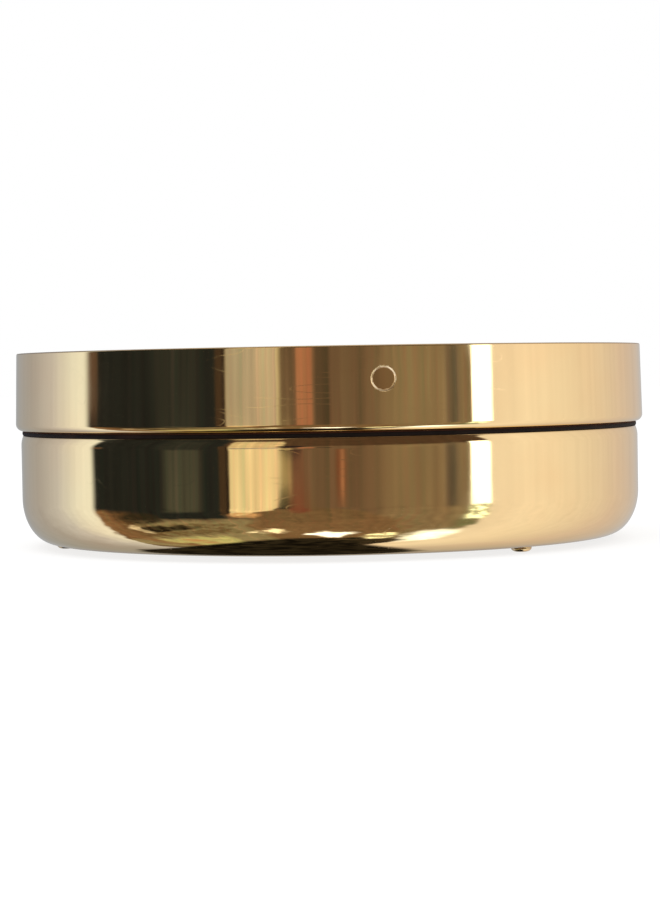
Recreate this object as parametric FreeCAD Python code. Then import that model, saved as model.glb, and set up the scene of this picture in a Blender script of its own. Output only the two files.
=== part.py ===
"""Offering plate: a deep round brass dish, ten inches across and three inches high.

The bowl is spun from brass sheet and stands on three button feet. A separate collar drops over the
bowl's neck, sits on a leather washer and locks with three bayonet studs whose outer ends are filed
flush with its polished wall. A loose felt-covered pad lies on the bowl's floor and deadens coins.
The collar is drawn unlocked, with its studs at the foot of the slots they drop down.

Millimetres, +Z up. The origin is on the surface the plate stands on, under the centre of the bowl.
A bearing is the angle about +Z, counted from the front (-Y) towards +X.
"""

import FreeCAD
import Part

import math
import os

# Driving dimensions
PLATE_DIAMETER = 254.0
BODY_HEIGHT = 76.2
SHEET = 1.2
FOOT_HEIGHT = 2.0

# Radii of the outer walls
COLLAR_RADIUS = PLATE_DIAMETER / 2
COLLAR_TOP_RADIUS = COLLAR_RADIUS - 0.7
BOWL_RADIUS = COLLAR_RADIUS - 2.0
NECK_RADIUS = BOWL_RADIUS - 3.2
RIM_INNER_RADIUS = NECK_RADIUS - 2.3

# Heights above the surface the plate stands on
BASE = FOOT_HEIGHT
TOP = BASE + BODY_HEIGHT
SHOULDER = BASE + 43.4
WASHER_THICKNESS = 1.8
LIP = SHOULDER + WASHER_THICKNESS

# The bowl's bottom corner is a quarter of an ellipse, taller than it is wide
CORNER_WIDTH = 12.5
CORNER_HEIGHT = 18.0
BOWL_EDGE_LEAN = 0.7
BOWL_EDGE_LEAN_HEIGHT = 3.6
BOWL_EDGE_ROUND = 0.4

# Neck ring
SKIRT_DEPTH = 9.0
NECK_TOP_GAP = 0.6

# Collar
COLLAR_EDGE_ROUND = 0.6
LIP_ROUND = 2.8
LIP_GAP = 0.4

# Bayonet studs and the slots they run in
STUD_BEARINGS = (9.0, 129.0, 249.0)
STUD_HEIGHT = BASE + 64.1
STUD_FACE_RADIUS = 4.3
STUD_FLANGE_RADIUS = 5.6
STUD_FLANGE = 1.0
STUD_FLANGE_GAP = 0.2
STUD_NOSE_RADIUS = 3.0
STUD_GROOVE = 0.45
SLOT_CLEARANCE = 0.3
LOCK_ANGLE = 12.0

# Leather washer
WASHER_GAP = 0.3
WASHER_RADIUS = BOWL_RADIUS - 0.9

# Button feet
FOOT_BEARINGS = (41.4, 161.4, 281.4)
FOOT_CIRCLE_RADIUS = 108.0
FOOT_RADIUS = 3.9
FOOT_FLAT_RADIUS = 1.6
FOOT_EDGE = 0.5
FOOT_BULGE = 0.42

# Coin pad
PAD_RADIUS = 111.0
PAD_BOARD = 2.0
PAD_COVER = 3.0
PAD_WRAP = 1.4
PAD_EDGE_ROUND = 2.2
PAD_HEM_GAP = 0.3

UP = FreeCAD.Vector(0, 0, 1)
CENTRE = FreeCAD.Vector(0, 0, 0)
# Cross-sections are drawn on the +X side
SECTION_BEARING = 90.0


def at(radius, height):
    """A point of a cross-section, in the half-plane that is turned about the plate's axis."""
    return FreeCAD.Vector(radius, 0, height)


def line(start, end):
    return Part.makeLine(at(*start), at(*end))


def polyline(*points):
    return [line(a, b) for a, b in zip(points, points[1:])]


def arc(centre, radius, start_deg, end_deg):
    """A circular arc of a cross-section; angles count from outwards (0) to upwards (90)."""

    def on_arc(degrees):
        angle = math.radians(degrees)
        return at(centre[0] + radius * math.cos(angle), centre[1] + radius * math.sin(angle))

    middle_deg = (start_deg + end_deg) / 2
    return Part.Arc(on_arc(start_deg), on_arc(middle_deg), on_arc(end_deg)).toShape()


def turned(edges):
    """The solid that a closed cross-section makes when it is turned about the plate's axis."""
    wire = Part.Wire(Part.__sortEdges__(edges))
    return Part.Face(wire).revolve(CENTRE, UP, 360)


def rectangle(inner, outer, bottom, top):
    return polyline((inner, bottom), (outer, bottom), (outer, top), (inner, top), (inner, bottom))


def disc(radius, bottom, top):
    return Part.makeCylinder(radius, top - bottom, at(0, bottom), UP)


def placed(shape, bearing):
    """A copy of a shape made at the front, turned to its bearing."""
    copy = shape.copy()
    copy.rotate(CENTRE, UP, bearing)
    return copy


def radial_cylinder(radius, inner_reach, outer_reach, height):
    """A cylinder at the front whose axis runs straight out from the plate's axis."""
    start = FreeCAD.Vector(0, -inner_reach, height)
    outwards = FreeCAD.Vector(0, -1, 0)
    return Part.makeCylinder(radius, outer_reach - inner_reach, start, outwards)


def corner_curve(radius, floor, width, height):
    """The quarter ellipse from the bowl's flat floor up to its wall."""
    centre_radius = radius - width
    bottom = at(centre_radius, floor)
    side = at(radius, floor + height)
    ellipse = Part.Ellipse(bottom, side, at(centre_radius, floor + height))
    return Part.ArcOfEllipse(ellipse, 0, math.pi / 2).toShape()


def bowl_shell():
    """Spun dish: flat floor, elliptical corner, straight wall and an edge turned in over the neck ring."""
    flat = BOWL_RADIUS - CORNER_WIDTH
    wall_foot = BASE + CORNER_HEIGHT
    inner_wall = BOWL_RADIUS - SHEET
    lean_start = SHOULDER - BOWL_EDGE_ROUND - BOWL_EDGE_LEAN_HEIGHT
    lean_end = SHOULDER - BOWL_EDGE_ROUND
    edge_radius = BOWL_RADIUS - BOWL_EDGE_LEAN
    # A quarter of the lean at half its height makes an arc that starts in line with the wall
    lean_middle = at(BOWL_RADIUS - BOWL_EDGE_LEAN / 4, (lean_start + lean_end) / 2)
    lean = Part.Arc(at(BOWL_RADIUS, lean_start), lean_middle, at(edge_radius, lean_end)).toShape()
    outside = [
        line((0, BASE), (flat, BASE)),
        corner_curve(BOWL_RADIUS, BASE, CORNER_WIDTH, CORNER_HEIGHT),
        line((BOWL_RADIUS, wall_foot), (BOWL_RADIUS, lean_start)),
        lean,
        arc((edge_radius - BOWL_EDGE_ROUND, lean_end), BOWL_EDGE_ROUND, 0, 90),
        line((edge_radius - BOWL_EDGE_ROUND, SHOULDER), (NECK_RADIUS, SHOULDER)),
    ]
    inside = polyline(
        (NECK_RADIUS, SHOULDER),
        (NECK_RADIUS, SHOULDER - SHEET),
        (inner_wall, SHOULDER - SHEET),
        (inner_wall, wall_foot),
    )
    inside.append(corner_curve(inner_wall, BASE + SHEET, CORNER_WIDTH - SHEET, CORNER_HEIGHT - SHEET))
    inside += polyline((flat, BASE + SHEET), (0, BASE + SHEET), (0, BASE))
    return turned(outside + inside)


def bayonet_slot(bearing):
    """L-shaped cutter: straight down from the neck's top, then clockwise by the lock angle."""
    half_width = STUD_NOSE_RADIUS + SLOT_CLEARANCE
    inner, outer = NECK_RADIUS - 2 * SHEET, NECK_RADIUS + SHEET
    end = radial_cylinder(half_width, inner, outer, STUD_HEIGHT)
    drop_corner = FreeCAD.Vector(-half_width, -outer, STUD_HEIGHT)
    drop = Part.makeBox(2 * half_width, outer - inner, TOP - STUD_HEIGHT, drop_corner)
    section = rectangle(inner, outer, STUD_HEIGHT - half_width, STUD_HEIGHT + half_width)
    run = Part.Face(Part.Wire(section)).revolve(CENTRE, UP, LOCK_ANGLE)
    run.rotate(CENTRE, UP, -SECTION_BEARING - LOCK_ANGLE)
    cutter = drop.fuse([end, placed(end, -LOCK_ANGLE), run])
    return placed(cutter, bearing)


def neck_ring():
    """Ring whose stepped skirt is trapped under the bowl's turned-in edge; the collar slides over it."""
    skirt_radius = BOWL_RADIUS - SHEET
    step = SHOULDER - SHEET
    neck_top = TOP - SHEET - NECK_TOP_GAP
    section = polyline(
        (skirt_radius, step - SKIRT_DEPTH),
        (skirt_radius, step),
        (NECK_RADIUS, step),
        (NECK_RADIUS, neck_top),
        (NECK_RADIUS - SHEET, neck_top),
        (NECK_RADIUS - SHEET, step - SHEET),
        (skirt_radius - SHEET, step - SHEET),
        (skirt_radius - SHEET, step - SKIRT_DEPTH),
        (skirt_radius, step - SKIRT_DEPTH),
    )
    return turned(section).cut([bayonet_slot(bearing) for bearing in STUD_BEARINGS])


def collar_outline():
    """Edges of the collar's outer face, from its inner lip edge round to its top edge."""
    lip_centre = (COLLAR_RADIUS - LIP_ROUND, LIP + LIP_ROUND)
    edge_centre = (COLLAR_TOP_RADIUS - COLLAR_EDGE_ROUND, TOP - COLLAR_EDGE_ROUND)
    return [
        arc(lip_centre, LIP_ROUND, -90, 0),
        line((COLLAR_RADIUS, lip_centre[1]), (COLLAR_TOP_RADIUS, edge_centre[1])),
        arc(edge_centre, COLLAR_EDGE_ROUND, 0, 90),
    ]


def collar_envelope():
    """Everything inside the collar's outer face, used to file the studs flush."""
    lip_flat = COLLAR_RADIUS - LIP_ROUND
    top_flat = COLLAR_TOP_RADIUS - COLLAR_EDGE_ROUND
    edges = collar_outline() + polyline((top_flat, TOP), (0, TOP), (0, LIP), (lip_flat, LIP))
    return turned(edges)


def band_radius(height):
    """Outer radius of the collar's slightly tapered wall at a height."""
    wall_foot = LIP + LIP_ROUND
    wall_top = TOP - COLLAR_EDGE_ROUND
    share = (height - wall_foot) / (wall_top - wall_foot)
    return COLLAR_RADIUS + share * (COLLAR_TOP_RADIUS - COLLAR_RADIUS)


def stud_groove():
    """Fine V groove left round a stud where it was soldered in and filed flush."""
    surface = band_radius(STUD_HEIGHT)
    half_width = 2 * STUD_GROOVE
    points = [
        FreeCAD.Vector(STUD_FACE_RADIUS, -(surface - STUD_GROOVE), STUD_HEIGHT),
        FreeCAD.Vector(STUD_FACE_RADIUS - half_width, -(surface + STUD_GROOVE), STUD_HEIGHT),
        FreeCAD.Vector(STUD_FACE_RADIUS + half_width, -(surface + STUD_GROOVE), STUD_HEIGHT),
    ]
    section = Part.Face(Part.makePolygon(points + points[:1]))
    return section.revolve(FreeCAD.Vector(0, 0, STUD_HEIGHT), FreeCAD.Vector(0, -1, 0), 360)


def collar_band():
    """Collar wall with its lower edge turned in to a lip, drilled for the three studs."""
    lip_centre = (COLLAR_RADIUS - LIP_ROUND, LIP + LIP_ROUND)
    lip_edge = NECK_RADIUS + LIP_GAP
    top_flat = COLLAR_TOP_RADIUS - COLLAR_EDGE_ROUND
    inner_top = COLLAR_TOP_RADIUS - SHEET
    inner_foot = COLLAR_RADIUS - SHEET
    section = collar_outline()
    section += polyline((top_flat, TOP), (inner_top, TOP), (inner_foot, lip_centre[1]))
    section.append(arc(lip_centre, LIP_ROUND - SHEET, 0, -90))
    section += polyline(
        (lip_centre[0], LIP + SHEET),
        (lip_edge, LIP + SHEET),
        (lip_edge, LIP),
        (lip_centre[0], LIP),
    )
    hole = radial_cylinder(STUD_FACE_RADIUS, NECK_RADIUS, COLLAR_RADIUS + SHEET, STUD_HEIGHT)
    cutters = [placed(hole.fuse(stud_groove()), bearing) for bearing in STUD_BEARINGS]
    return turned(section).cut(cutters)


def rim_plate():
    """Flat ring let into the top of the collar; it makes the plate's rim and covers the neck."""
    return turned(rectangle(RIM_INNER_RADIUS, COLLAR_TOP_RADIUS - SHEET, TOP - SHEET, TOP))


def bayonet_stud():
    """Flanged stud, fitted from inside the collar; its nose runs in the neck's slot."""
    flange_seat = band_radius(STUD_HEIGHT) - SHEET - STUD_FLANGE_GAP
    face = radial_cylinder(STUD_FACE_RADIUS, flange_seat, COLLAR_RADIUS + SHEET, STUD_HEIGHT)
    flange = radial_cylinder(STUD_FLANGE_RADIUS, flange_seat - STUD_FLANGE, flange_seat, STUD_HEIGHT)
    nose = radial_cylinder(STUD_NOSE_RADIUS, NECK_RADIUS - SHEET, flange_seat, STUD_HEIGHT)
    stud = face.fuse([flange, nose]).common(collar_envelope())
    return stud.cut(stud_groove()).removeSplitter()


def seam_washer():
    """Dark leather ring on the bowl's shoulder; the collar's lip sits on it."""
    return turned(rectangle(NECK_RADIUS + WASHER_GAP, WASHER_RADIUS, SHOULDER, LIP))


def button_foot():
    """Low domed brass button soldered under the bowl's floor."""
    rise = FOOT_HEIGHT - FOOT_EDGE
    inner, outer = at(FOOT_FLAT_RADIUS, 0), at(FOOT_RADIUS, rise)
    chord = outer - inner
    outwards = FreeCAD.Vector(chord.z, 0, -chord.x).normalize()
    middle = (inner + outer) / 2 + outwards * FOOT_BULGE
    section = [
        line((0, 0), (FOOT_FLAT_RADIUS, 0)),
        Part.Arc(inner, middle, outer).toShape(),
    ]
    section += polyline((FOOT_RADIUS, rise), (FOOT_RADIUS, FOOT_HEIGHT), (0, FOOT_HEIGHT), (0, 0))
    foot = turned(section)
    foot.translate(FreeCAD.Vector(0, -FOOT_CIRCLE_RADIUS, 0))
    return foot


def pad_board():
    """Stiff card disc inside the coin pad."""
    floor = BASE + SHEET
    return disc(PAD_RADIUS - PAD_WRAP, floor, floor + PAD_BOARD)


def pad_cover():
    """Felt over the pad's board, wrapped down round its edge."""
    floor = BASE + SHEET
    board_top = floor + PAD_BOARD
    top = board_top + PAD_COVER
    edge_centre = (PAD_RADIUS - PAD_EDGE_ROUND, top - PAD_EDGE_ROUND)
    inner = PAD_RADIUS - PAD_WRAP
    hem = floor + PAD_HEM_GAP
    section = polyline(
        (0, board_top),
        (inner, board_top),
        (inner, hem),
        (PAD_RADIUS, hem),
        (PAD_RADIUS, edge_centre[1]),
    )
    section.append(arc(edge_centre, PAD_EDGE_ROUND, 0, 90))
    section += polyline((edge_centre[0], top), (0, top), (0, board_top))
    return turned(section)


def export(name, shape):
    print(name, "volume", round(shape.Volume, 1), "valid", shape.isValid(), "solids", len(shape.Solids))
    shape.exportStep(os.path.join("parts", name + ".step"))


os.makedirs("parts", exist_ok=True)
export("bowl_shell", bowl_shell())
export("neck_ring", neck_ring())
export("seam_washer", seam_washer())
export("collar_band", collar_band())
export("rim_plate", rim_plate())
export("pad_board", pad_board())
export("pad_cover", pad_cover())
stud = bayonet_stud()
for number, bearing in enumerate(STUD_BEARINGS, 1):
    export(f"bayonet_stud_{number}", placed(stud, bearing))
foot = button_foot()
for number, bearing in enumerate(FOOT_BEARINGS, 1):
    export(f"button_foot_{number}", placed(foot, bearing))
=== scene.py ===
"""Looks of the offering plate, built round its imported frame. Metres and degrees, +Z up.

A bearing is the angle about +Z, counted from the front (-Y) towards +X.
"""

import math

import bpy
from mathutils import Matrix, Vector


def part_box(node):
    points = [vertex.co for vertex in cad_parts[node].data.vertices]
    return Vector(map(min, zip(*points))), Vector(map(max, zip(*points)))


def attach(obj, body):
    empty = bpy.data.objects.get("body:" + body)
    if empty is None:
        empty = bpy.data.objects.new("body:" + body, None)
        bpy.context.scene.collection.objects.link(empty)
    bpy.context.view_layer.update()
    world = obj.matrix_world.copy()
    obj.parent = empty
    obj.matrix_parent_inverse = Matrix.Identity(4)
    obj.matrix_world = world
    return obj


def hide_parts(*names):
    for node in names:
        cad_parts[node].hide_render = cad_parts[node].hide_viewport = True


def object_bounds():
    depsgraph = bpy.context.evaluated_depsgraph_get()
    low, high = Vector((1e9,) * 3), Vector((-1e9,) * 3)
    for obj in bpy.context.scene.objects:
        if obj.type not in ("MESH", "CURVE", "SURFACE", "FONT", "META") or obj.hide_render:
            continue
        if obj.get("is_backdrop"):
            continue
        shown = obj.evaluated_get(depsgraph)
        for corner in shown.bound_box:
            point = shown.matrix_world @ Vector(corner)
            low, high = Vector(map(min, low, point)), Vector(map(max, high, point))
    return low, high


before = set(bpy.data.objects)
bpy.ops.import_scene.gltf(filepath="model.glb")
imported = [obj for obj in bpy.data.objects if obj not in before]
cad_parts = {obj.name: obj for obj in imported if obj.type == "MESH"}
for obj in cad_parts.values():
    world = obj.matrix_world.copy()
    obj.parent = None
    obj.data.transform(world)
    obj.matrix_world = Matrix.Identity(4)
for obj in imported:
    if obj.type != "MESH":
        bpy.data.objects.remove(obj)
cad_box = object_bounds()
MM = 0.001


# ---------------------------------------------------------------------------------------------
# Camera: a long lens at the height of the plate's wall, about a metre in front of it.
# It looks a little down and leans a little, as the plate was framed.
# ---------------------------------------------------------------------------------------------

LENS = 96.96
CAMERA_DISTANCE = 0.991
CAMERA_HEIGHT = 0.0679
LOOK_DOWN = 1.79
CAMERA_ROLL = 1.0
SHIFT_RIGHT = 0.0019

camera_data = bpy.data.cameras.new("camera")
camera_data.lens = LENS
camera_data.shift_x = SHIFT_RIGHT
camera = bpy.data.objects.new("camera", camera_data)
camera.location = (0, -CAMERA_DISTANCE, CAMERA_HEIGHT)
camera.rotation_euler = (math.radians(90 - LOOK_DOWN), math.radians(CAMERA_ROLL), 0)
bpy.context.scene.collection.objects.link(camera)
bpy.context.scene.camera = camera
bpy.context.scene.view_settings.view_transform = "Standard"


# ---------------------------------------------------------------------------------------------
# Studio: a plain pale floor under even soft light. Only reflections see a room, of pale
# side screens, a dark panel, a sunlit board, brown woodwork, a narrow window and a light ceiling,
# laid out as panels and patches in bearing and elevation. It lights nothing by diffuse light.
# ---------------------------------------------------------------------------------------------


def set_sockets(tree, made, inputs):
    """Gives a node's inputs, by name or number, their values, or links them to outputs."""
    for socket, value in inputs.items():
        if isinstance(value, bpy.types.NodeSocket):
            tree.links.new(value, made.inputs[socket])
        else:
            made.inputs[socket].default_value = value


def node(tree, kind, inputs=None, **settings):
    """A shader node with its settings and its inputs."""
    made = tree.nodes.new(kind)
    for name, value in settings.items():
        setattr(made, name, value)
    set_sockets(tree, made, inputs or {})
    return made


def math_node(tree, operation, first, second=0.0, third=0.0, clamp=False):
    inputs = {0: first, 1: second, 2: third}
    return node(tree, "ShaderNodeMath", inputs, operation=operation, use_clamp=clamp).outputs[0]


def smooth_step(tree, value, start, end):
    """0 before start, 1 after end and smooth between them."""
    inputs = {"Value": value, "From Min": start, "From Max": end}
    return node(tree, "ShaderNodeMapRange", inputs, interpolation_type="SMOOTHSTEP").outputs[0]


def mix_colour(tree, share, below, above, blend="MIX"):
    inputs = {0: share, 6: below, 7: above}
    return node(tree, "ShaderNodeMix", inputs, data_type="RGBA", blend_type=blend).outputs[2]


def noise(tree, vector, scale, detail=2.0, **more):
    inputs = {"Vector": vector, "Scale": scale, "Detail": detail, **more}
    return node(tree, "ShaderNodeTexNoise", inputs).outputs[0]


def group(name, inputs, outputs):
    """An empty shader node group, with its named sockets, and its inner input and output nodes."""
    tree = bpy.data.node_groups.new(name, "ShaderNodeTree")
    for socket, kind, value in inputs:
        made = tree.interface.new_socket(socket, in_out="INPUT", socket_type=kind)
        if value is not None:
            made.default_value = value
    for socket, kind in outputs:
        tree.interface.new_socket(socket, in_out="OUTPUT", socket_type=kind)
    return tree, tree.nodes.new("NodeGroupInput"), tree.nodes.new("NodeGroupOutput")


def use_group(tree, made_group, **inputs):
    """Places a group in a tree; a socket's spaces are written as underscores."""
    made = node(tree, "ShaderNodeGroup", node_tree=made_group)
    set_sockets(tree, made, {name.replace("_", " "): value for name, value in inputs.items()})
    return made


def screen_group(name, sides):
    """An empty group for something that stands in front of what is behind it."""
    sockets = [(socket, "NodeSocketColor", None) for socket in ("Behind", "Colour")]
    values = ("Bearing", "Elevation") + sides + ("Broken", "Gaps")
    sockets += [(socket, "NodeSocketFloat", 0.0) for socket in values]
    return group(name, sockets, [("Colour", "NodeSocketColor")])


PANEL_SIDES = ("From", "To", "Low", "High", "Soft")
PATCH_SIDES = ("Middle", "Level", "Half Width", "Half Height", "Soft")


def panel_group():
    """A panel with soft edges, in front of what is behind it; a broken one has gaps."""
    tree, inside, out = screen_group("panel", PANEL_SIDES)
    given = inside.outputs
    half = math_node(tree, "MULTIPLY", given["Soft"], 0.5)
    gaps = math_node(tree, "MULTIPLY", given["Gaps"], given["Broken"])
    share = math_node(tree, "SUBTRACT", 1.0, gaps)
    for value, low, high in (("Bearing", "From", "To"), ("Elevation", "Low", "High")):
        for edge in (low, high):
            start = math_node(tree, "SUBTRACT", given[edge], half)
            end = math_node(tree, "ADD", given[edge], half)
            step = smooth_step(tree, given[value], start, end)
            if edge == high:
                step = math_node(tree, "SUBTRACT", 1.0, step)
            share = math_node(tree, "MULTIPLY", share, step)
    tree.links.new(mix_colour(tree, share, given["Behind"], given["Colour"]), out.inputs[0])
    return tree


# What stands round the plate, from back to front: bearings, elevations, edge softness, colour and
# how far it is broken up by gaps
PANELS = (
    ("brown_room_right", 18, 60, -60, 14, 14, (0.29, 0.235, 0.165), 0),
    ("brown_room_low", -40, 30, -60, -22, 10, (0.25, 0.175, 0.11), 0),
    ("room_shadow", -110, 62, 9, 47, 5, (0.10, 0.065, 0.045), 0),
    ("brown_beam", -18, 40, -4.6, -4.1, 0.3, (0.20, 0.14, 0.10), 0.4),
    ("dark_panel", -110, -38, -19, 40, 5, (0.021, 0.026, 0.030), 0),
    ("dark_panel_shine", -64, -46, -0.5, 30, 5, (0.036, 0.042, 0.044), 0),
    ("dark_panel_sheen", -62, -47, -8, -0.6, 5, (0.082, 0.092, 0.085), 0),
    ("olive_floor", -110, -30, -80, -21, 9, (0.35, 0.33, 0.23), 0),
    ("brown_leaves", -100, -38, -44, -25, 7, (0.19, 0.15, 0.09), 0.5),
    ("brown_floor", -110, -78, -44, -9, 8, (0.17, 0.11, 0.065), 0.3),
    ("yellow_floor", -92, -50, -72, -48, 8, (0.66, 0.72, 0.40), 0.25),
    ("brown_edge", -99, -89, -66, -7, 5, (0.30, 0.19, 0.12), 0.3),
    ("brown_edge_high", -98, -90.5, 1.0, 5, 1, (0.14, 0.09, 0.07), 0),
    ("dark_post", -40.5, -36.3, -12, 12, 1.2, (0.070, 0.047, 0.034), 0),
    ("dark_post_edge", -37.9, -36.5, -12, 12, 0.7, (0.016, 0.010, 0.008), 0),
    ("board_behind", -36.3, -17.0, -2, 30, 2, (0.74, 0.66, 0.50), 0),
    ("sunlit_board", -36.3, -13.8, -13, 1.2, 1.0, (1.02, 0.93, 0.70), 0),
    ("board_side", -17.0, -13.2, -13, 1.2, 1.8, (0.60, 0.51, 0.31), 0),
    ("board_grain", -33, -29, -6, 1.0, 2.5, (0.90, 0.84, 0.64), 0.5),
    ("board_above", -36.3, -16.5, 4.5, 26, 2, (0.86, 0.74, 0.52), 0),
    ("pale_board", -36.3, -18.0, 1.2, 5, 1.2, (0.50, 0.48, 0.45), 0),
    ("pale_board_edge", -25.5, -19.0, 1.2, 5, 3.0, (0.66, 0.61, 0.54), 0),
    ("orange_post_high", -11.5, -5.6, 1.2, 5, 1.5, (0.47, 0.235, 0.16), 0),
    ("dark_post_high", -4.6, 0.5, 1.2, 5, 1.5, (0.105, 0.080, 0.060), 0),
    ("orange_post_low", 2.0, 5.6, -2.9, -1.2, 1.6, (0.20, 0.085, 0.050), 0),
    ("orange_post_core", 3.4, 4.8, -2.8, -1.6, 0.9, (0.50, 0.26, 0.17), 0),
    ("dark_line", 41.5, 47.0, -5, 12, 3, (0.150, 0.130, 0.112), 0.3),
    ("green_verge", 50, 62, -50, -5, 8, (0.20, 0.24, 0.15), 0.6),
    ("window", 51.8, 60.2, -4.0, 14, 1.0, (3.2, 3.4, 3.6), 0),
    ("window_low", 51.0, 60.5, -24, -3.6, 2.5, (2.2, 2.6, 2.2), 0.85),
)

# Rounded patches: bearing and elevation of the middle, their half-widths, edge softness, colour,
# and how far it is broken up
PATCHES_BEHIND_SCREENS = (
    ("brown_floor_middle", -3.0, -34.0, 30.0, 26.0, 0.20, (0.24, 0.165, 0.105), 0),
    # Painted shade: the floor near the plate, dark with the plate's own shade
    ("plate_shade_floor", 16.0, -69.0, 32.0, 12.0, 0.25, (0.026, 0.025, 0.017), 0.3),
    ("board_shade_low", -8.0, -14.0, 22.0, 10.6, 0.10, (0.21, 0.150, 0.095), 0),
    ("board_shade_high", -11.0, -4.6, 9.8, 1.85, 0.12, (0.18, 0.130, 0.085), 0),
    ("dark_corner_low", -15.2, -3.55, 3.9, 0.80, 0.5, (0.045, 0.045, 0.034), 0),
    ("red_patch", -11.0, -6.0, 4.0, 4.5, 0.9, (0.22, 0.090, 0.065), 0.3),
    ("orange_tip", -31.0, -12.5, 6.0, 4.0, 0.5, (0.85, 0.56, 0.33), 0.4),
    ("dark_streak", -68.0, -32.0, 13.0, 4.5, 0.5, (0.020, 0.015, 0.010), 0.2),
    ("dark_stain", -75.0, -17.0, 9.0, 8.0, 0.6, (0.040, 0.035, 0.025), 0.3),
    ("dark_corner_high", -13.8, -1.45, 4.6, 0.52, 0.30, (0.035, 0.025, 0.030), 0),
    ("dark_corner_above", -14.0, 8.0, 5.0, 4.0, 0.5, (0.035, 0.025, 0.030), 0),
)
PATCHES_IN_FRONT = (
    ("glint_middle", 0.0, -50.0, 9.0, 6.0, 0.5, (2.7, 3.1, 3.8), 0.25),
    ("glint_next", 25.0, -54.0, 8.0, 5.5, 0.6, (1.9, 2.1, 1.7), 0.8),
    ("glint_left", -27.0, -42.0, 8.0, 4.0, 0.6, (1.8, 1.8, 1.6), 0.85),
    ("glint_right", 50.0, -55.0, 12.0, 12.0, 0.7, (2.4, 2.8, 3.3), 0.25),
    ("pale_slip", -82.0, -31.0, 3.4, 6.0, 0.7, (0.95, 0.90, 0.78), 0.5),
    ("orange_slip", -74.0, -56.0, 8.0, 6.0, 0.9, (0.62, 0.40, 0.23), 0.6),
)


def patch_group():
    """An oval patch with soft edges, set in front of what is behind it."""
    tree, inside, out = screen_group("patch", PATCH_SIDES)
    given = inside.outputs
    across = math_node(tree, "SUBTRACT", given["Bearing"], given["Middle"])
    across = math_node(tree, "DIVIDE", across, given["Half Width"])
    up = math_node(tree, "SUBTRACT", given["Elevation"], given["Level"])
    up = math_node(tree, "DIVIDE", up, given["Half Height"])
    squares = math_node(tree, "MULTIPLY_ADD", up, up, math_node(tree, "MULTIPLY", across, across))
    half = math_node(tree, "MULTIPLY", given["Soft"], 0.5)
    start = math_node(tree, "SUBTRACT", 1.0, half)
    end = math_node(tree, "ADD", 1.0, half)
    outside = smooth_step(tree, math_node(tree, "SQRT", squares), start, end)
    share = math_node(tree, "SUBTRACT", 1.0, outside)
    gaps = math_node(tree, "MULTIPLY", given["Gaps"], given["Broken"])
    share = math_node(tree, "MULTIPLY", share, math_node(tree, "SUBTRACT", 1.0, gaps))
    tree.links.new(mix_colour(tree, share, given["Behind"], given["Colour"]), out.inputs[0])
    return tree


def place_rows(tree, colour, rows, made_group, sides, seen):
    """Sets each row's panel or patch in front of the one before it."""
    for name, *sizes, shade, broken in rows:
        inputs = dict(zip(sides, sizes), Behind=colour, Colour=(*shade, 1), Broken=broken)
        placed = use_group(tree, made_group, **inputs, **seen)
        placed.label = name
        colour = placed.outputs[0]
    return colour


def screen_ramp(tree, bearing, stops):
    """Colours of a screen along its bearings."""
    inputs = {"Value": bearing, "From Min": -180.0, "From Max": 180.0}
    share = node(tree, "ShaderNodeMapRange", inputs).outputs[0]
    ramp = node(tree, "ShaderNodeValToRGB", {0: share})
    elements = ramp.color_ramp.elements
    while len(elements) < len(stops):
        elements.new(0.5)
    for element, (at_bearing, shade) in zip(elements, stops):
        element.position = at_bearing / 360 + 0.5
        element.color = (*shade, 1)
    return ramp.outputs[0]


LEFT_SCREEN = (
    (-180, (0.47, 0.48, 0.49)),
    (-160, (0.39, 0.42, 0.46)),
    (-135, (0.46, 0.49, 0.60)),
    (-118, (0.66, 0.74, 0.98)),
    (-106, (0.95, 1.09, 1.33)),
    (-97, (1.08, 1.25, 1.50)),
)
RIGHT_SCREEN = (
    (60, (1.04, 1.00, 1.00)),
    (76, (1.13, 1.10, 1.10)),
    (92, (1.06, 1.03, 1.02)),
    (110, (0.95, 0.92, 0.92)),
    (132, (0.80, 0.74, 0.76)),
    (156, (0.64, 0.61, 0.61)),
    (180, (0.47, 0.48, 0.49)),
)

PANEL = panel_group()
PATCH = patch_group()
ROOM_BROWN = (0.185, 0.135, 0.100, 1)
CEILING = (0.85, 0.84, 0.80, 1)
OVERHEAD_BOX = (1.30, 1.30, 1.28, 1)
# How far the screens lean, and where the plate's own shade lies on the floor and how far it
# reaches, right and back, in units of the height it is seen from
SCREEN_LEAN = 0.016
RIGHT_SCREEN_LEAN = 0.32
PLATE_SHADE_MIDDLE = (-0.17, 0.42)
PLATE_SHADE_REACH = (0.38, 1.04)
PLATE_SHADE_COLOURS = ((0.008, 0.007, 0.006, 1), (0.030, 0.027, 0.020, 1))


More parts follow.
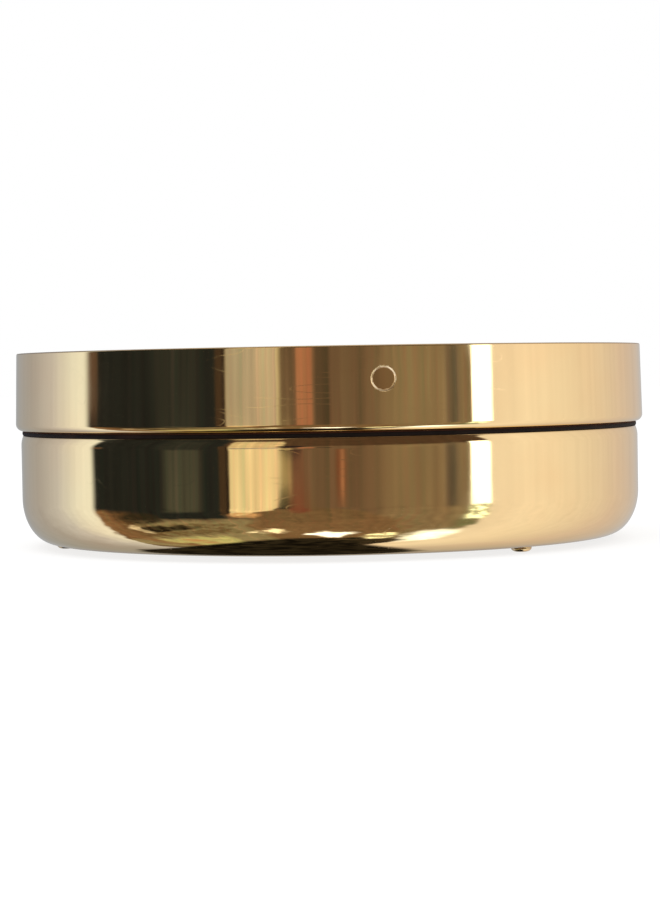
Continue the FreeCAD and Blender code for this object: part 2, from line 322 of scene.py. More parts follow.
def surroundings(tree):
    """What a mirror sees in a direction. Edges waver a little, more so far down towards the floor."""
    direction = node(tree, "ShaderNodeTexCoord").outputs["Generated"]
    axes = node(tree, "ShaderNodeSeparateXYZ", {0: direction}).outputs
    forward = math_node(tree, "MULTIPLY", axes["Y"], -1.0)
    bearing = math_node(tree, "DEGREES", math_node(tree, "ARCTAN2", axes["X"], forward))
    elevation = math_node(tree, "DEGREES", math_node(tree, "ARCSINE", axes["Z"]))
    depth = math_node(tree, "MULTIPLY", math_node(tree, "MINIMUM", elevation, 0.0), -1.0)
    uneven = node(tree, "ShaderNodeTexNoise", {"Vector": direction, "Scale": 7.0, "Detail": 5.0}).outputs
    offsets = node(tree, "ShaderNodeSeparateColor", {0: uneven["Color"]}).outputs
    reach = math_node(tree, "MULTIPLY_ADD", depth, 0.22, 1.0)
    sway = math_node(tree, "MULTIPLY", math_node(tree, "SUBTRACT", offsets[0], 0.5), reach)
    bearing = math_node(tree, "MULTIPLY_ADD", sway, 1.6, bearing)
    lift = math_node(tree, "MULTIPLY", math_node(tree, "SUBTRACT", offsets[1], 0.5), depth)
    elevation = math_node(tree, "MULTIPLY_ADD", lift, 0.35, elevation)
    gaps = smooth_step(tree, noise(tree, direction, 15.0, 3.0), 0.44, 0.56)

    seen = {"Bearing": bearing, "Elevation": elevation, "Gaps": gaps}
    colour = place_rows(tree, ROOM_BROWN, PANELS, PANEL, PANEL_SIDES, seen)
    colour = place_rows(tree, colour, PATCHES_BEHIND_SCREENS, PATCH, PATCH_SIDES, seen)

    # Upright streaks, as of planks and folds of cloth
    tone = 1.0
    for scale, detail, strength in ((0.33, 4.0, 0.75), (1.5, 2.0, 0.45)):
        inputs = {"W": bearing, "Scale": scale, "Detail": detail}
        folds = node(tree, "ShaderNodeTexNoise", inputs, noise_dimensions="1D").outputs[0]
        tone = math_node(tree, "MULTIPLY_ADD", math_node(tree, "SUBTRACT", folds, 0.5), strength, tone)
    blotches = math_node(tree, "SUBTRACT", noise(tree, direction, 14.0, 4.0), 0.5)
    tone = math_node(tree, "MULTIPLY_ADD", blotches, 0.7, tone)
    inputs = {"W": bearing, "Scale": 0.5, "Detail": 3.0, "Roughness": 0.7}
    stain = node(tree, "ShaderNodeTexNoise", inputs, noise_dimensions="1D").outputs[0]
    stain = math_node(tree, "SUBTRACT", stain, 0.5)
    red = math_node(tree, "MULTIPLY_ADD", stain, 0.55, tone)
    green = math_node(tree, "MULTIPLY_ADD", stain, -0.20, tone)
    toned = node(tree, "ShaderNodeCombineColor", {0: red, 1: green, 2: tone}).outputs[0]
    colour = mix_colour(tree, 1.0, colour, toned, "MULTIPLY")

    # The side screens lean outwards near the floor, so their edges shift with the elevation
    below = math_node(tree, "MINIMUM", math_node(tree, "ADD", elevation, 20.0), 0.0)
    lean = math_node(tree, "MULTIPLY", math_node(tree, "MULTIPLY", below, below), SCREEN_LEAN)
    left_bearing = math_node(tree, "ADD", bearing, lean)
    left_share = smooth_step(tree, left_bearing, -94.0, -98.0)
    colour = mix_colour(tree, left_share, colour, screen_ramp(tree, bearing, LEFT_SCREEN))
    right_bearing = math_node(tree, "MULTIPLY_ADD", lean, RIGHT_SCREEN_LEAN, bearing)
    right_share = smooth_step(tree, right_bearing, 58.6, 60.8)
    colour = mix_colour(tree, right_share, colour, screen_ramp(tree, bearing, RIGHT_SCREEN))
    soft_tone = math_node(tree, "MULTIPLY_ADD", tone, 0.16, 0.84)
    soft_toned = node(tree, "ShaderNodeCombineColor", {0: soft_tone, 1: soft_tone, 2: soft_tone})
    on_screen = math_node(tree, "ADD", left_share, right_share)
    colour = mix_colour(tree, on_screen, colour, soft_toned.outputs[0], "MULTIPLY")
    colour = place_rows(tree, colour, PATCHES_IN_FRONT, PATCH, PATCH_SIDES, seen)

    # The dark egg-shaped patch of floor that the plate itself shades
    level = math_node(tree, "SINE", math_node(tree, "RADIANS", elevation))
    down = math_node(tree, "MAXIMUM", math_node(tree, "MULTIPLY", level, -1.0), 0.001)
    squares = 0.0
    for axis, middle, reach in zip("XY", PLATE_SHADE_MIDDLE, PLATE_SHADE_REACH):
        off = math_node(tree, "SUBTRACT", math_node(tree, "DIVIDE", axes[axis], down), middle)
        off = math_node(tree, "DIVIDE", off, reach)
        squares = math_node(tree, "MULTIPLY_ADD", off, off, squares)
    outside = smooth_step(tree, math_node(tree, "SQRT", squares), 0.90, 1.08)
    shade = math_node(tree, "SUBTRACT", 1.0, outside)
    colour = mix_colour(tree, shade, colour, mix_colour(tree, gaps, *PLATE_SHADE_COLOURS))

    # A light ceiling behind and above, and a bright soft box overhead
    over = smooth_step(tree, elevation, 46.0, 54.0)
    colour = mix_colour(tree, over, colour, CEILING)
    return mix_colour(tree, smooth_step(tree, elevation, 56.0, 64.0), colour, OVERHEAD_BOX)


world = bpy.data.worlds.new("studio")
world.use_nodes = True
world.cycles.sampling_method = "NONE"
world_tree = world.node_tree
world_tree.nodes.clear()
ray = node(world_tree, "ShaderNodeLightPath")
AMBIENT = (1.08, 1.08, 1.08, 1)
BACKGROUND = (1.0, 1.0, 1.0, 1)
# How much of the room the metal mirrors: 1 is all of it, 0 leaves plain even studio light
MIRRORED_ROOM = 1.0
mirrored = mix_colour(world_tree, MIRRORED_ROOM, AMBIENT, surroundings(world_tree))
lit = mix_colour(world_tree, ray.outputs["Is Glossy Ray"], AMBIENT, mirrored)
seen = mix_colour(world_tree, ray.outputs["Is Camera Ray"], lit, BACKGROUND)
background = node(world_tree, "ShaderNodeBackground", {"Color": seen})
node(world_tree, "ShaderNodeOutputWorld", {"Surface": background.outputs[0]})
bpy.context.scene.world = world


def deselect():
    """The frame's parts are selected after loading, and an operator acts on all that is."""
    if bpy.context.mode != "OBJECT":
        bpy.ops.object.mode_set(mode="OBJECT")
    bpy.ops.object.select_all(action="DESELECT")


def select_only(piece):
    deselect()
    piece.select_set(True)
    bpy.context.view_layer.objects.active = piece


FLOOR_RADIUS = 8.0
deselect()
bpy.ops.mesh.primitive_circle_add(vertices=96, radius=FLOOR_RADIUS, fill_type="NGON")
floor = bpy.context.object
floor.name = "floor"
floor.visible_glossy = False
floor_material = bpy.data.materials.new("pale_floor")
floor_material.use_nodes = True
floor_shader = floor_material.node_tree.nodes["Principled BSDF"]
floor_shader.inputs["Base Color"].default_value = (0.20, 0.20, 0.20, 1)
floor_shader.inputs["Roughness"].default_value = 0.9
floor_shader.inputs["Specular IOR Level"].default_value = 0.0
floor_shader.inputs["Emission Color"].default_value = (1, 1, 1, 1)
floor_shader.inputs["Emission Strength"].default_value = 0.80
floor.data.materials.append(floor_material)
floor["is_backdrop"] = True

SOFTBOX_PLACE = (-0.3, -0.5, 1.5)
softbox_data = bpy.data.lights.new("softbox", "AREA")
softbox_data.shape = "DISK"
softbox_data.size = 1.6
softbox_data.energy = 14
softbox = bpy.data.objects.new("softbox", softbox_data)
softbox.location = SOFTBOX_PLACE
softbox.rotation_euler = Vector(SOFTBOX_PLACE).to_track_quat("Z", "Y").to_euler()
softbox.visible_camera = False
softbox.visible_glossy = False
bpy.context.scene.collection.objects.link(softbox)


# ---------------------------------------------------------------------------------------------
# Bowl: spun from one disc of brass sheet over a form, with a flat floor, an elliptical corner,
# a straight wall and an edge turned in over the neck ring. Its outside is polished bright, and
# its inside is finished less finely and keeps the rings of the spinning.
# ---------------------------------------------------------------------------------------------

SEGMENTS = 256
MIDDLE_DISC = 12 * MM
FLOOR_RING = 60 * MM
HOLD = 0.5 * MM
SHEET = 1.2 * MM
NECK_INSET = 3.2 * MM
CORNER_WIDTH = 12.5 * MM
CORNER_HEIGHT = 18.0 * MM
EDGE_LEAN = 0.7 * MM
EDGE_LEAN_HEIGHT = 3.6 * MM
EDGE_ROUND = 0.4 * MM
JOINT_GAP = 0.03 * MM
BRASS = (0.84, 0.63, 0.33, 1)
BRASS_BLUSH = (1.0, 0.95, 0.93, 1)
# Tarnished brass colour, also used as painted shade in the seams between parts
BRASS_TARNISH_AND_SHADE = (0.30, 0.19, 0.09, 1)
# Pale dry polish, also painted as the highlight in the studs' grooves
DRY_POLISH_HIGHLIGHT = (0.86, 0.70, 0.48, 1)

bowl_low, bowl_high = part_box("bowl_shell")
neck_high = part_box("neck_ring")[1]
BASE = bowl_low.z
SHOULDER = bowl_high.z
BOWL_RADIUS = bowl_high.x
NECK_RADIUS = BOWL_RADIUS - NECK_INSET


def curve(centre, radii, start, end, steps):
    """Points of an elliptical arc in a cross-section; angles count from outwards (0) to upwards (90)."""
    points = []
    for step in range(steps + 1):
        angle = math.radians(start + (end - start) * step / steps)
        points.append((centre[0] + radii[0] * math.cos(angle), centre[1] + radii[1] * math.sin(angle)))
    return points


def turn(name, section, filled=False, closed=False, segments=SEGMENTS):
    """Draws a circle out through a cross-section's (radius, height) points, as on a lathe.

    A filled piece starts with a disc and ends in a pole; a closed one ends where it starts.
    """
    deselect()
    radius, height = section[0]
    points = section[1:] + section[:1] if closed else section[1:]
    if filled:
        points = points + [(0, section[-1][1])]
    fill = "TRIFAN" if filled else "NOTHING"
    bpy.ops.mesh.primitive_circle_add(
        vertices=segments, radius=radius, fill_type=fill, enter_editmode=True,
    )
    piece = bpy.context.object
    piece.name = piece.data.name = name
    bpy.ops.mesh.select_all(action="SELECT")
    bpy.ops.transform.translate(value=(0, 0, height))
    if filled:
        bpy.ops.mesh.region_to_loop()
    for next_radius, next_height in points:
        bpy.ops.mesh.extrude_edges_move(TRANSFORM_OT_translate={"value": (0, 0, next_height - height)})
        scale = next_radius / radius
        bpy.ops.transform.resize(value=(scale, scale, 1), center_override=(0, 0, 0))
        radius, height = next_radius, next_height
    bpy.ops.mesh.select_all(action="SELECT")
    bpy.ops.mesh.remove_doubles(threshold=0.0005 * MM)
    bpy.ops.mesh.normals_make_consistent(inside=False)
    bpy.ops.object.mode_set(mode="OBJECT")
    return piece


def shade_smooth(piece, angle=30):
    select_only(piece)
    bpy.ops.object.shade_smooth_by_angle(angle=math.radians(angle))


def above_and_below(tree, value, low, high, soft):
    """1 between two values, fading out over a distance beyond each."""
    start = math_node(tree, "SUBTRACT", low, soft)
    end = math_node(tree, "ADD", high, soft)
    rise = smooth_step(tree, value, start, low)
    return math_node(tree, "MULTIPLY", rise, smooth_step(tree, value, end, high))


def height_band_group():
    """Where a height lies in a band, with soft edges."""
    sockets = [(name, "NodeSocketFloat", 0.0) for name in ("Height", "Low", "High", "Soft")]
    tree, inside, out = group("height_band", sockets, [("Band", "NodeSocketFloat")])
    given = inside.outputs
    band = above_and_below(tree, given["Height"], given["Low"], given["High"], given["Soft"])
    tree.links.new(band, out.inputs[0])
    return tree


def bump(tree, height, distance=MM):
    """A normal from a height in millimetres."""
    inputs = {"Strength": 1.0, "Distance": distance, "Height": height}
    return node(tree, "ShaderNodeBump", inputs).outputs[0]


def buffed_brass_group():
    """Brass as spinning and buffing leave it: slow waves in the sheet, brush or lathe lines, stray
    scratches, smudges, tarnished bands, painted shade in the seams, and pale dry polish that
    paints a highlight in the studs' grooves."""
    sockets = [("Vector", "NodeSocketVector", None), ("Base", "NodeSocketColor", None)]
    values = ("Roughness", "Smear", "Wave Height", "Brush Height", "Ring Height", "Scratch Height")
    sockets += [(name, "NodeSocketFloat", 0.0) for name in values + ("Tarnish", "Dish", "Polish_Highlight")]
    outputs = [("Colour", "NodeSocketColor"), ("Roughness", "NodeSocketFloat")]
    outputs += [("Metallic", "NodeSocketFloat"), ("Normal", "NodeSocketVector")]
    tree, inside, out = group("buffed_brass", sockets, outputs)
    given = inside.outputs
    place = given["Vector"]

    def stretched(turned, scale):
        inputs = {"Vector": place, "Rotation": [math.radians(a) for a in turned], "Scale": scale}
        return node(tree, "ShaderNodeMapping", inputs).outputs[0]

    slow = noise(tree, place, 38.0, 1.0)
    quick = noise(tree, place, 130.0, 1.0)
    wave = math_node(tree, "MULTIPLY_ADD", quick, 0.10, slow)
    height = math_node(tree, "MULTIPLY_ADD", wave, given["Wave Height"], given["Dish"])

    upright = noise(tree, stretched((0, 0, 0), (1, 1, 0.03)), 900.0, 2.0)
    height = math_node(tree, "MULTIPLY_ADD", upright, given["Brush Height"], height)

    axes = node(tree, "ShaderNodeSeparateXYZ", {0: place}).outputs
    across = node(tree, "ShaderNodeCombineXYZ", {0: axes[0], 1: axes[1]}).outputs[0]
    radius = node(tree, "ShaderNodeVectorMath", {0: across}, operation="LENGTH").outputs["Value"]
    lathe = node(tree, "ShaderNodeCombineXYZ", {0: radius, 1: 0.0, 2: axes[2]}).outputs[0]
    rings = noise(tree, lathe, 2600.0, 3.0)
    height = math_node(tree, "MULTIPLY_ADD", rings, given["Ring Height"], height)

    scratch = 0.0
    for turned, seed in (((12, 35, 5), 0.3), ((-20, -28, 40), 7.7)):
        along = noise(tree, stretched(turned, (0.05, 1, 1)), 190.0, 0.0)
        off_line = math_node(tree, "ABSOLUTE", math_node(tree, "SUBTRACT", along, 0.5))
        line = math_node(tree, "SUBTRACT", 1.0, smooth_step(tree, off_line, 0.0, 0.006))
        inputs = {0: place, 1: (seed, seed, seed)}
        spot = node(tree, "ShaderNodeVectorMath", inputs, operation="ADD").outputs[0]
        patch = smooth_step(tree, noise(tree, spot, 55.0, 0.0), 0.62, 0.72)
        scratch = math_node(tree, "MULTIPLY_ADD", line, patch, scratch)
    dip = math_node(tree, "MULTIPLY", scratch, given["Scratch Height"])
    height = math_node(tree, "SUBTRACT", height, dip)

    smudge = smooth_step(tree, noise(tree, place, 21.0, 3.0), 0.42, 0.80)
    tarnish_and_shade = math_node(tree, "MULTIPLY_ADD", smudge, 0.05, given["Tarnish"])
    tarnish_and_shade = math_node(tree, "MINIMUM", tarnish_and_shade, 1.0)
    blush = smooth_step(tree, noise(tree, place, 30.0, 3.0), 0.35, 0.75)
    warmer = mix_colour(tree, 1.0, given["Base"], BRASS_BLUSH, "MULTIPLY")
    colour = mix_colour(tree, blush, given["Base"], warmer)
    colour = mix_colour(tree, tarnish_and_shade, colour, BRASS_TARNISH_AND_SHADE)
    # Pale dry polish in the studs' grooves, also a painted highlight, and not metal
    colour = mix_colour(tree, given["Polish_Highlight"], colour, DRY_POLISH_HIGHLIGHT)
    rough = math_node(tree, "MULTIPLY_ADD", smudge, given["Smear"], given["Roughness"])
    for mask, more in ((scratch, 0.15), (tarnish_and_shade, 0.3), (given["Polish_Highlight"], 0.4)):
        rough = math_node(tree, "MULTIPLY_ADD", mask, more, rough)
    metal = math_node(tree, "SUBTRACT", 1.0, given["Polish_Highlight"])
    for socket, value in enumerate((colour, rough, metal, bump(tree, height))):
        tree.links.new(value, out.inputs[socket])
    return tree


def brass(
    name, roughness, smear, wave, scratch, brush=0.0, ring=0.0, tarnish_and_shade_bands=(), marks=None, base=BRASS,
):
    """A brass material. It is darker in bands of height, tarnished in some and painted shade in the seams
    in others, and marks is the group of its studs.
    """
    material = bpy.data.materials.new(name)
    material.use_nodes = True
    tree = material.node_tree
    shader = tree.nodes["Principled BSDF"]
    place = node(tree, "ShaderNodeTexCoord").outputs["Object"]
    height = node(tree, "ShaderNodeSeparateXYZ", {0: place}).outputs[2]
    tarnish_and_shade = 0.0
    for low, high, soft, amount in tarnish_and_shade_bands:
        band = use_group(tree, BAND, Height=height, Low=low, High=high, Soft=soft).outputs[0]
        tarnish_and_shade = math_node(tree, "MULTIPLY_ADD", band, amount, tarnish_and_shade)
    look = use_group(
        tree, BUFFED, Vector=place, Base=base, Roughness=roughness, Smear=smear, Wave_Height=wave,
        Brush_Height=brush, Ring_Height=ring, Scratch_Height=scratch, Tarnish=tarnish_and_shade,
    )
    if marks:
        stud = use_group(tree, marks, Vector=place).outputs
        tree.links.new(stud["Dish"], look.inputs["Dish"])
        tree.links.new(stud["Polish_Highlight"], look.inputs["Polish_Highlight"])
    tree.links.new(look.outputs["Colour"], shader.inputs["Base Color"])
    for socket in ("Roughness", "Metallic", "Normal"):
        tree.links.new(look.outputs[socket], shader.inputs[socket])
    return material


BAND = height_band_group()
BUFFED = buffed_brass_group()

flat = BOWL_RADIUS - CORNER_WIDTH
wall_foot = BASE + CORNER_HEIGHT
lean_start = SHOULDER - EDGE_ROUND - EDGE_LEAN_HEIGHT
edge_radius = BOWL_RADIUS - EDGE_LEAN
inner_wall = BOWL_RADIUS - SHEET
flat_edge = flat - 2 * MM
bowl_section = [(MIDDLE_DISC, BASE), (FLOOR_RING, BASE), (flat_edge, BASE)]
bowl_section += curve((flat, wall_foot), (CORNER_WIDTH, CORNER_HEIGHT), -90, 0, 36)
bowl_section += [(BOWL_RADIUS, wall_foot + HOLD), (BOWL_RADIUS, lean_start - HOLD)]
LEAN_STEPS = 8
for step in range(LEAN_STEPS + 1):
    share = step / LEAN_STEPS
    bowl_section.append((BOWL_RADIUS - EDGE_LEAN * share**2, lean_start + EDGE_LEAN_HEIGHT * share))
edge_centre = (edge_radius - EDGE_ROUND, SHOULDER - EDGE_ROUND)
bowl_section += curve(edge_centre, (EDGE_ROUND, EDGE_ROUND), 15, 90, 5)
bowl_section += [(NECK_RADIUS + JOINT_GAP, SHOULDER), (NECK_RADIUS + JOINT_GAP, SHOULDER - SHEET)]
bowl_section += [(inner_wall, SHOULDER - SHEET), (inner_wall, wall_foot + HOLD)]
bowl_section += curve((flat, wall_foot), (CORNER_WIDTH - SHEET, CORNER_HEIGHT - SHEET), 0, -90, 24)
bowl_section += [(radius, BASE + SHEET) for radius in (flat_edge, FLOOR_RING, MIDDLE_DISC)]
bowl = turn("bowl", bowl_section, filled=True)
shade_smooth(bowl)

BRIGHT_POLISH = {"roughness": 0.045, "smear": 0.05, "wave": 0.035, "brush": 0.0006, "scratch": 0.002}
polished = brass("polished_brass", **BRIGHT_POLISH, tarnish_and_shade_bands=(
    # Darker towards the bottom: under the floor and on the foot of the corner
    (0.0, BASE, 1.5 * MM, 0.5),
    # Painted shade in the seam under the washer and the collar's lip, partly tarnished brass
    (SHOULDER - 0.2 * MM, SHOULDER + 2.2 * MM, 0.6 * MM, 0.35),
))
spun_inside = brass(
    "spun_inside", roughness=0.14, smear=0.07, wave=0.03, ring=0.0035, scratch=0.01,
    tarnish_and_shade_bands=((BASE, BASE + 2.5 * MM, 5 * MM, 0.22),),
)
bowl.data.materials.append(polished)
bowl.data.materials.append(spun_inside)
for face in bowl.data.polygons:
    outwards = face.center.x * face.normal.x + face.center.y * face.normal.y
    facing_in = outwards < -0.01 * MM and face.center.z < SHOULDER - 1.3 * MM
    on_floor = face.normal.z > 0.3 and face.center.z < wall_foot
    face.material_index = 1 if facing_in or on_floor else 0
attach(bowl, "bowl")
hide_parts("bowl_shell")


# ---------------------------------------------------------------------------------------------
# Feet: three low domed brass buttons. Each is soldered under the bowl's flat floor, and a thin
# fillet of solder shows round its top.
# ---------------------------------------------------------------------------------------------

FOOT_BEARINGS = (41.4, 161.4, 281.4)
FOOT_CIRCLE_RADIUS = 108 * MM
FOOT_FLAT_RADIUS = 1.6 * MM
FOOT_RADIUS = 3.9 * MM
FOOT_SIDE = 0.5 * MM
FILLET = 0.3 * MM



def place_at(piece, location, rotation=(0, 0, 0), scale=(1, 1, 1)):
    """Puts a piece in place and applies that to its mesh."""
    piece.location, piece.rotation_euler, piece.scale = location, rotation, scale
    select_only(piece)
    bpy.ops.object.transform_apply(location=True, rotation=True, scale=True)


def round_plate(radius, bearing, height):
    """The point at a distance off the plate's axis, a bearing and a height."""
    angle = math.radians(bearing)
    return (radius * math.sin(angle), -radius * math.cos(angle), height)


foot_rise = BASE - FOOT_SIDE
foot_section = [(FOOT_FLAT_RADIUS * 0.5, 0), (FOOT_FLAT_RADIUS, 0)]
foot_dome = (FOOT_RADIUS - FOOT_FLAT_RADIUS, foot_rise)
foot_section += curve((FOOT_FLAT_RADIUS, foot_rise), foot_dome, -80, 0, 10)
foot_section += curve((FOOT_RADIUS + FILLET, BASE - FILLET), (FILLET, FILLET), 180, 90, 4)
foot_section += [(FOOT_RADIUS * 0.5, BASE)]
foot_brass = brass(
    "foot_brass", roughness=0.12, smear=0.12, wave=0.01, scratch=0.004,
    tarnish_and_shade_bands=((BASE - 0.6 * MM, BASE, 0.7 * MM, 0.6),),
)
for number, bearing in enumerate(FOOT_BEARINGS, 1):
    foot = turn(f"foot_{number}", foot_section, filled=True, segments=64)
    place_at(foot, round_plate(FOOT_CIRCLE_RADIUS, bearing, 0))
    shade_smooth(foot, 50)
    foot.data.materials.append(foot_brass)
    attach(foot, "bowl")
    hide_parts(f"button_foot_{number}")


# ---------------------------------------------------------------------------------------------
# Neck ring: turned satin brass. Its stepped skirt is trapped under the bowl's edge and soldered,
# and three L-shaped slots are milled through it for the studs.
# ---------------------------------------------------------------------------------------------

SKIRT_DEPTH = 9.0 * MM
NECK_EDGE = 0.3 * MM
SLOT_HALF_WIDTH = 3.3 * MM
SLOT_DEPTH = 3.6 * MM
LOCK_ANGLE = 12
STUD_BEARINGS = (9, 129, 249)
STUD_HEIGHT = 66.1 * MM

skirt_radius = inner_wall - JOINT_GAP
step_height = SHOULDER - SHEET - JOINT_GAP
neck_top = neck_high.z
neck_bore = NECK_RADIUS - SHEET
neck_section = [
    (skirt_radius, step_height - SKIRT_DEPTH + NECK_EDGE),
    (skirt_radius, step_height),
    (NECK_RADIUS, step_height),
    (NECK_RADIUS, neck_top - NECK_EDGE),
    (NECK_RADIUS - NECK_EDGE, neck_top),
    (neck_bore + NECK_EDGE, neck_top),
    (neck_bore, neck_top - NECK_EDGE),
    (neck_bore, step_height - SHEET),
    (skirt_radius - SHEET, step_height - SHEET),
    (skirt_radius - SHEET, step_height - SKIRT_DEPTH),
    (skirt_radius - NECK_EDGE, step_height - SKIRT_DEPTH),
]
neck = turn("slotted_neck", neck_section, closed=True)


def cut(piece, cutter, operation="DIFFERENCE"):
    modifier = piece.modifiers.new("cut", "BOOLEAN")
    modifier.object = cutter
    modifier.operation = operation
    modifier.solver = "EXACT"
    select_only(piece)
    bpy.ops.object.modifier_apply(modifier="cut")
    bpy.data.objects.remove(cutter)


def lay_along_stud(piece, bearing):
    """Turns a piece drawn round +Z to lie along a stud's axis, at the stud's height."""
    place_at(piece, (0, 0, STUD_HEIGHT), (math.radians(90), 0, math.radians(bearing)))


def bar_cutter(bearing, radius, start, end, segments=96):
    """A round bar along a stud's axis, from one distance off the plate's axis to another."""
    bar = turn("bar_cutter", [(radius, start), (radius, end)], filled=True, segments=segments)
    lay_along_stud(bar, bearing)
    return bar


def entry_cutter(bearing):
    """A block for the slot's upright leg, from the stud's height out through the neck's top."""
    rise = neck_top + 2 * MM - STUD_HEIGHT
    deselect()
    bpy.ops.mesh.primitive_cube_add(size=1)
    block = bpy.context.object
    location = round_plate(slot_middle, bearing, STUD_HEIGHT + rise / 2)
    scale = (2 * SLOT_HALF_WIDTH, SLOT_DEPTH, rise)
    place_at(block, location, (0, 0, math.radians(bearing)), scale)
    return block


def run_cutter(bearing):
    """A strip for the slot's level leg, spun clockwise round the plate's axis."""
    deselect()
    bpy.ops.mesh.primitive_plane_add(size=1)
    strip = bpy.context.object
    turned = (0, math.radians(90), 0)
    place_at(strip, (0, -slot_middle, STUD_HEIGHT), turned, (2 * SLOT_HALF_WIDTH, SLOT_DEPTH, 1))
    bpy.ops.object.mode_set(mode="EDIT")
    bpy.ops.mesh.select_all(action="SELECT")
    bpy.ops.mesh.spin(steps=12, angle=math.radians(LOCK_ANGLE), center=(0, 0, 0), axis=(0, 0, 1))
    bpy.ops.mesh.select_all(action="SELECT")
    bpy.ops.mesh.normals_make_consistent(inside=False)
    bpy.ops.object.mode_set(mode="OBJECT")
    clockwise = max(point.co.x for point in strip.data.vertices) < 1 * MM
    place_at(strip, (0, 0, 0), (0, 0, math.radians(bearing if clockwise else bearing - LOCK_ANGLE)))
    return strip


slot_middle = NECK_RADIUS - SHEET / 2
slot_ends = (slot_middle - SLOT_DEPTH / 2, slot_middle + SLOT_DEPTH / 2)
for bearing in STUD_BEARINGS:
    cut(neck, entry_cutter(bearing))
    cut(neck, run_cutter(bearing))
    for corner in (bearing, bearing - LOCK_ANGLE):
        cut(neck, bar_cutter(corner, SLOT_HALF_WIDTH, *slot_ends, segments=48))
shade_smooth(neck)
neck.data.materials.append(brass(
    "turned_brass", roughness=0.24, smear=0.10, wave=0.01, ring=0.008, scratch=0.006,
    # Painted shade in the seam, where the neck ring stands behind the washer and the collar's lip
    tarnish_and_shade_bands=((SHOULDER, SHOULDER + 1 * MM, 4 * MM, 0.45),),
))
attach(neck, "bowl")
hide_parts("neck_ring")


# ---------------------------------------------------------------------------------------------
# Coin pad: red wool felt wrapped over a grey card disc and glued under its edge. It lies loose
# in the bowl and deadens the coins, and its filling gives it a slight crown.
# ---------------------------------------------------------------------------------------------

board_low, board_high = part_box("pad_board")
cover_low, cover_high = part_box("pad_cover")
BOARD_EDGE = 0.3 * MM
BOARD_INSET = 0.3 * MM
BOARD_DARK = (0.16, 0.15, 0.13, 1)
BOARD_COLOUR = (0.22, 0.205, 0.18, 1)
BOARD_FLECK = (0.42, 0.40, 0.36, 1)

board_radius = board_high.x - BOARD_INSET
board_section = [
    (MIDDLE_DISC, board_low.z),
    (board_radius - BOARD_EDGE, board_low.z),
    (board_radius, board_low.z + BOARD_EDGE),
    (board_radius, board_high.z - BOARD_EDGE),
    (board_radius - BOARD_EDGE, board_high.z),
    (MIDDLE_DISC, board_high.z),
]
board = turn("card_disc", board_section, filled=True, segments=128)
shade_smooth(board)


def plain_material(name, roughness):
    """A new material with its shader, node tree and Object coordinates."""
    material = bpy.data.materials.new(name)
    material.use_nodes = True
    tree = material.node_tree
    shader = tree.nodes["Principled BSDF"]
    shader.inputs["Roughness"].default_value = roughness
    return material, tree, shader, node(tree, "ShaderNodeTexCoord").outputs["Object"]


card, tree, shader, place = plain_material("grey_board", 0.85)
pulp = noise(tree, place, 600.0, 5.0)
flecks = smooth_step(tree, noise(tree, place, 1500.0), 0.62, 0.7)
shade = mix_colour(tree, pulp, BOARD_DARK, BOARD_COLOUR)
shade = mix_colour(tree, flecks, shade, BOARD_FLECK)
tree.links.new(shade, shader.inputs["Base Color"])
tree.links.new(bump(tree, pulp, 0.06 * MM), shader.inputs["Normal"])
board.data.materials.append(card)
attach(board, "coin_pad")
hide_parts("pad_board")

FELT_VOXEL = 2.2 * MM
FELT_PRESSURE = 4.0
FELT_FRAMES = 20
FELT_CROWN = 1.1 * MM
FELT_ROUND = 2.0 * MM
FELT_INSET = 0.4 * MM
FELT_HEADROOM = 0.7 * MM
FELT_DEEP = (0.085, 0.006, 0.009, 1)
FELT_COLOUR = (0.200, 0.016, 0.021, 1)
FELT_WORN = (0.25, 0.035, 0.033, 1)

felt_radius = cover_high.x - FELT_INSET
felt_top = cover_high.z - FELT_HEADROOM
felt_hem = cover_low.z
felt_under = board_high.z - 0.4 * MM
felt_section = [(MIDDLE_DISC, felt_under), (board_radius - 1 * MM, felt_under)]
felt_section += [(board_radius + 0.1 * MM, felt_hem), (felt_radius - 0.2 * MM, felt_hem)]
felt_section += [(felt_radius, felt_hem + 0.3 * MM)]
felt_corner = (felt_radius - FELT_ROUND, felt_top - FELT_ROUND)
felt_section += curve(felt_corner, (FELT_ROUND, FELT_ROUND), 0, 90, 6)
felt_section += [(radius * MM, felt_top) for radius in range(105, 10, -4)]
felt = turn("felt_pad", felt_section, filled=True, segments=180)


def puff(piece, pinned_below, cap):
    """Swells a padded piece with the cloth solver; its points under a height stay where they are."""
    select_only(piece)
    piece.data.remesh_voxel_size = FELT_VOXEL
    bpy.ops.object.voxel_remesh()
    pins = piece.vertex_groups.new(name="glued")
    low = [point.index for point in piece.data.vertices if point.co.z < pinned_below]
    pins.add(low, 1.0, "REPLACE")
    before = [point.co.copy() for point in piece.data.vertices]
    cloth = piece.modifiers.new("cloth", "CLOTH")
    cloth.settings.use_pressure = True
    cloth.settings.uniform_pressure_force = FELT_PRESSURE
    cloth.settings.vertex_group_mass = pins.name
    cloth.settings.effector_weights.gravity = 0
    scene = bpy.context.scene
    for frame_number in range(1, FELT_FRAMES + 1):
        scene.frame_set(frame_number)
    bpy.ops.object.modifier_apply(modifier=cloth.name)
    scene.frame_set(1)
    for point, start in zip(piece.data.vertices, before):
        moved = point.co - start
        if moved.length > cap:
            point.co = start + moved * (cap / moved.length)
    piece.vertex_groups.clear()


puff(felt, board_high.z, FELT_CROWN)
soften = felt.modifiers.new("soften", "SUBSURF")
soften.levels = soften.render_levels = 1
bpy.ops.object.modifier_apply(modifier=soften.name)
shade_smooth(felt, 60)

